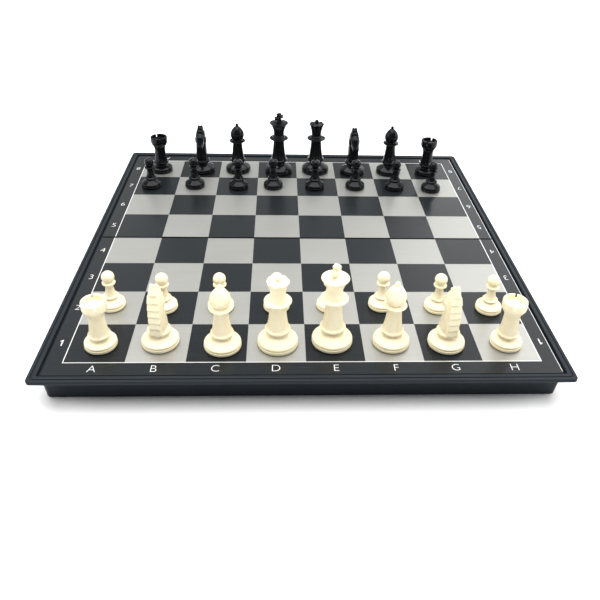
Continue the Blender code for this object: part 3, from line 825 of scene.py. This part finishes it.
def caseHalf(middleKnuckle, turnedRound):
    steps = [("UNION", bossMesh(side * magnet["x"])) for side in (-1, 1)]
    for side in (-1, 1):
        steps.append(("DIFFERENCE", rodMesh(magnet["radius"] + 0.15, magnet["bottom"] - 1,
                                            magnet["bottom"] + magnet["thick"] + 0.2, side * magnet["x"],
                                            magnetY(), False)))
    room = hinge["pocket"]
    for low, high in knuckleSpans(not middleKnuckle):
        pocket = rodMesh(hinge["radius"] + room, low - room, high + room, hinge["height"])
        steps.append(("DIFFERENCE", pocket))
    for low, high in knuckleSpans(middleKnuckle):
        steps.append(("UNION", rodMesh(hinge["radius"], low, high, hinge["height"])))
    reach = hinge["middle"] / 2 + hinge["side"] + 1
    for side in (-1, 1):
        steps.append(("DIFFERENCE", rodMesh(hinge["pin"] + 0.15, side * hinge["x"] - reach,
                                            side * hinge["x"] + reach, hinge["height"])))
    mesh = combine(caseShell(), steps)
    if turnedRound:
        mesh.transform(Matrix.Rotation(math.pi, 4, "Z"))
    return smoothed(mesh, 40)


def setOutCase():
    for half, rear in (("front", False), ("rear", True)):
        mesh = caseHalf(rear, rear)
        finishPiece(half + "Case", mesh, caseMaterial, half + "_half", [half + "_case"])
        print("case half", half, len(mesh.polygons))


# the last entry is the width of the painted highlight strip along the sheet's right edge
sheet = {
    "halfWidth": 153.6, "edge": 155.4, "seam": 0.8, "thick": 0.5, "corner": 1.5, "chamfer": 0.22,
    "tile": 0.03, "line": 0.55, "letters": 5.3, "thin": 0.16, "letterLine": 149.8, "numberLine": 148.5,
    "bare": 0.32,
}


def sheetSlab():  # rounded at its two outer corners, with a small chamfer
    low, high = board["play"] - sheet["thick"], board["play"] - sheet["tile"]
    x, far, near, corner = sheet["halfWidth"], sheet["edge"], sheet["seam"], sheet["corner"]
    outline = [(-x, -near)]
    for side, start in ((-1, 180), (1, 270)):
        for n in range(7):
            angle = math.radians(start + 15 * n)
            outline.append((side * (x - corner) + corner * math.cos(angle),
                            -(far - corner) + corner * math.sin(angle)))
    outline.append((x, -near))
    bm = bmesh.new()
    bm.from_mesh(extruded(outline, low, high, (0, 1, 2)))
    rim = [edge for edge in bm.edges if min(v.co.z for v in edge.verts) > (high - 0.01) * mm
           and min(v.co.y for v in edge.verts) < -(near + 0.01) * mm]
    bmesh.ops.bevel(bm, geom=rim, offset=sheet["chamfer"] * mm, segments=1, affect="EDGES")
    return meshFrom("slab", bm)


def fieldLine():  # thin silver line along three sides of the field
    x, far, near = 4 * board["square"], 4 * board["square"] + board["gridGap"] / 2, board["gridGap"] / 2
    wide, low, high = sheet["line"], board["play"] - 0.06, board["play"]
    bm = bmesh.new()
    outer = [(-x - wide, -near), (-x - wide, -far - wide), (x + wide, -far - wide), (x + wide, -near)]
    inner = [(-x, -near), (-x, -far), (x, -far), (x, -near)]
    lowOut, lowIn, highOut, highIn = [
        [bm.verts.new((a * mm, b * mm, z * mm)) for a, b in line]
        for z in (low, high) for line in (outer, inner)
    ]
    for n in range(3):
        bm.faces.new((highOut[n], highOut[n + 1], highIn[n + 1], highIn[n]))
        bm.faces.new((lowOut[n], lowOut[n + 1], lowIn[n + 1], lowIn[n]))
        bm.faces.new((lowOut[n], lowOut[n + 1], highOut[n + 1], highOut[n]))
        bm.faces.new((lowIn[n], lowIn[n + 1], highIn[n + 1], highIn[n]))
    for n in (0, 3):
        bm.faces.new((lowOut[n], lowIn[n], highIn[n], highOut[n]))
    return meshFrom("fieldLine", bm)


# The number one, in parts of its height: an upright with a flag
flaggedOne = [
    (-0.1, -0.5), (0.04, -0.5), (0.04, 0.5), (-0.06, 0.5), (-0.29, 0.29), (-0.29, 0.16), (-0.1, 0.31),
]


def glyphMesh(text, x, y, turn):
    if text == "1":
        outline = [(a * sheet["letters"], b * sheet["letters"]) for a, b in flaggedOne]
        mesh = extruded(outline, -0.01, 0.01, (0, 1, 2))
        mesh.transform(Matrix.Translation((x * mm, y * mm, board["play"] * mm))
                       @ Matrix.Rotation(math.radians(turn), 4, "Z"))
        return mesh
    curve = bpy.data.curves.new("glyph", "FONT")
    curve.body = text
    curve.align_x = "CENTER"
    curve.extrude = 0.02 * mm
    curve.resolution_u = 6
    curve.size = 1.0 * mm * sheet["letters"] / 0.69
    curve.offset = -sheet["thin"] * mm
    item = link("glyph", curve)
    mesh = evaluated(item)
    bpy.data.objects.remove(item, do_unlink=True)
    ys = [v.co.y for v in mesh.vertices]
    xs = [v.co.x for v in mesh.vertices]
    middle = Vector(((min(xs) + max(xs)) / 2, (min(ys) + max(ys)) / 2, 0))
    tall = max(ys) - min(ys)
    size = sheet["letters"] * mm / tall
    mesh.transform(Matrix.Translation((x * mm, y * mm, (board["play"] - 0.01) * mm))
                   @ Matrix.Rotation(math.radians(turn), 4, "Z") @ Matrix.Diagonal((size, size, 1, 1))
                   @ Matrix.Translation(-middle))
    return mesh


def squareMiddle(file, rank):
    x, y = (file - 3.5) * board["square"], (rank - 3.5) * board["square"]
    return x, y + math.copysign(board["gridGap"] / 2, y)


def lettering(rear):
    bm = bmesh.new()
    glyphs = []
    for file, letter in enumerate(files):
        x = squareMiddle(file, 0)[0]
        y = sheet["letterLine"] if rear else -sheet["letterLine"]
        glyphs.append((letter.upper(), x, y, 180 if rear else 0))
    for rank in (range(4, 8) if rear else range(4)):
        y = squareMiddle(0, rank)[1]
        glyphs.append((str(rank + 1), -sheet["numberLine"], y, 0))
        glyphs.append((str(rank + 1), sheet["numberLine"], y, 180))
    for text, x, y, turn in glyphs:
        bm.from_mesh(glyphMesh(text, x, y, turn))
    return meshFrom("lettering", bm)


def paintedEdgeHighlight(way):  # a painted highlight: a bright strip along the sheet's right side only, standing in for light caught on its edge
    right = sheet["halfWidth"] - sheet["chamfer"]
    near, far = sorted((way * sheet["seam"] * mm, way * (sheet["edge"] - sheet["corner"]) * mm))
    return boxMesh(((right - sheet["bare"]) * mm, near, (board["play"] - 0.05) * mm),
                   (right * mm, far, board["play"] * mm))


def setOutSheets():
    for half, rear in (("front", False), ("rear", True)):
        body, about = half + "_half", Matrix.Rotation(math.pi if rear else 0.0, 4, "Z")
        slab = sheetSlab()
        slab.transform(about)
        finishPiece(half + "PrintedSheet", slab, blackFoil, body, [half + "_playing_sheet"])
        tiles = grown(chequer, {
            "Columns": 8, "Rows": 4, "Square": board["square"] * mm, "Thickness": 0.06 * mm, "Start": 0,
            "Material": silverFoil,
        })
        middle = (2 * board["square"] + board["gridGap"] / 2) * (1 if rear else -1)
        tiles.transform(Matrix.Translation((0, middle * mm, (board["play"] - 0.03) * mm)))
        finishPiece(half + "SilverSquares", closeMesh(tiles), silverFoil, body)
        line = fieldLine()
        line.transform(about)
        finishPiece(half + "FieldLine", line, cutEdge, body)
        # painted highlight: a bright strip on the right edge only, where light catches the sheet
        finishPiece(half + "BareEdge", paintedEdgeHighlight(1 if rear else -1), cutEdge, body)
        finishPiece(half + "Lettering", lettering(rear), whiteInk, body)
        print("sheet", half)


def setOutSteel():
    for side, label in ((-1, "left"), (1, "right")):
        reach = hinge["middle"] / 2 + hinge["fit"] + hinge["side"]
        pin = turnedMesh([(0, -reach, 0), (hinge["pin"], -reach, 0.15), (hinge["pin"], reach, 0.15),
                          (0, reach, 0)])
        pin.transform(Matrix.Translation((side * hinge["x"] * mm, 0, hinge["height"] * mm))
                      @ Matrix.Rotation(math.pi / 2, 4, "Y"))
        finishPiece("hingePin" + label.capitalize(), smoothed(pin), brightSteel, "front_half",
                    ["hinge_pin_" + label])
        for half, way in (("front", 1), ("rear", -1)):
            radius, thick = magnet["radius"], magnet["thick"]
            disc = turnedMesh([(0, 0, 0), (radius, 0, 0.25), (radius, thick, 0.25), (0, thick, 0)])
            place = Vector((side * magnet["x"], way * magnetY(), magnet["bottom"])) * mm
            disc.transform(Matrix.Translation(place))
            finishPiece(half + "Magnet" + label.capitalize(), smoothed(disc), brightSteel, half + "_half",
                        [f"{half}_closure_magnet_{label}"])
    for half in ("front", "rear"):
        plate = frame["nodes"][half + "_steel_sheet"]
        for place in plate.material_slots:
            place.material = brightSteel
    print("steel")


studio = {
    "world": 0.22, "floorTone": (0.92, 0.92, 0.92),
    "eye": (-0.0169, -0.4338, 0.2815), "look": (57.211, -1.657, -2.204), "lens": 38.46,
    "shift": (-0.015, -0.0662),
}
panels = {  # width, height, power, where it stands; each one faces the board
    "top": (3.2, 3.2, 140, (0.0, 0.1, 2.4)),
    "left": (1.2, 1.0, 10, (-1.6, -0.1, 0.8)),
    "right": (1.2, 1.0, 14, (1.6, -0.1, 0.8)),
    "back": (0.7, 1.4, 1.3, (0.0, 1.7, 0.9)),
    "backLeft": (1.4, 1.4, 4.6, (-1.1, 1.5, 0.9)),
    "backRight": (1.4, 1.4, 10.5, (1.1, 1.5, 0.9)),
}


def setUpStudio():
    floorMaterial, tree, shader, place = newFinish("paleFloor")
    feed(tree, shader, {}, {
        "Base Color": (*studio["floorTone"], 1), "Roughness": 0.9, "Specular IOR Level": 0.1,
    })
    bm = bmesh.new()
    bmesh.ops.create_grid(bm, x_segments=1, y_segments=1, size=6.0)
    floorMesh = bpy.data.meshes.new("floor")
    bm.to_mesh(floorMesh)
    bm.free()
    floorMesh.materials.append(floorMaterial)
    floorItem = link("floor", floorMesh)
    floorItem.location.z = min(cadLow.z, 0.0) - 0.0001
    world = bpy.data.worlds.new("studio")
    bpy.context.scene.world = world
    world.use_nodes = True
    back = world.node_tree.nodes["Background"]
    back.inputs[0].default_value = (1.0, 1.0, 1.0, 1.0)
    back.inputs[1].default_value = studio["world"]
    for name, (wide, tall, power, place) in panels.items():
        light = bpy.data.lights.new(name + "Panel", "AREA")
        light.shape = "RECTANGLE"
        light.size, light.size_y = wide, tall
        light.energy = power
        panel = bpy.data.objects.new(name + "Panel", light)
        bpy.context.collection.objects.link(panel)
        panel.location = place
        aim = Vector((0.0, place[1] if name == "top" else 0.0, 0.0)) - Vector(place)
        panel.rotation_euler = aim.to_track_quat("-Z", "Y").to_euler()
        panel.visible_camera = False
    lens = bpy.data.cameras.new("camera")
    lens.lens = studio["lens"]
    lens.sensor_width = 36
    lens.shift_x, lens.shift_y = studio["shift"]
    lens.clip_start = 0.01
    camera = bpy.data.objects.new("camera", lens)
    bpy.context.collection.objects.link(camera)
    camera.location = studio["eye"]
    camera.rotation_euler = [math.radians(a) for a in studio["look"]]
    scene = bpy.context.scene
    scene.camera = camera
    scene.view_settings.view_transform = "Standard"
    scene.view_settings.look = "None"


setOutCase()
setOutSheets()
setOutSteel()
setOutMen()
setUpStudio()
print("studio")
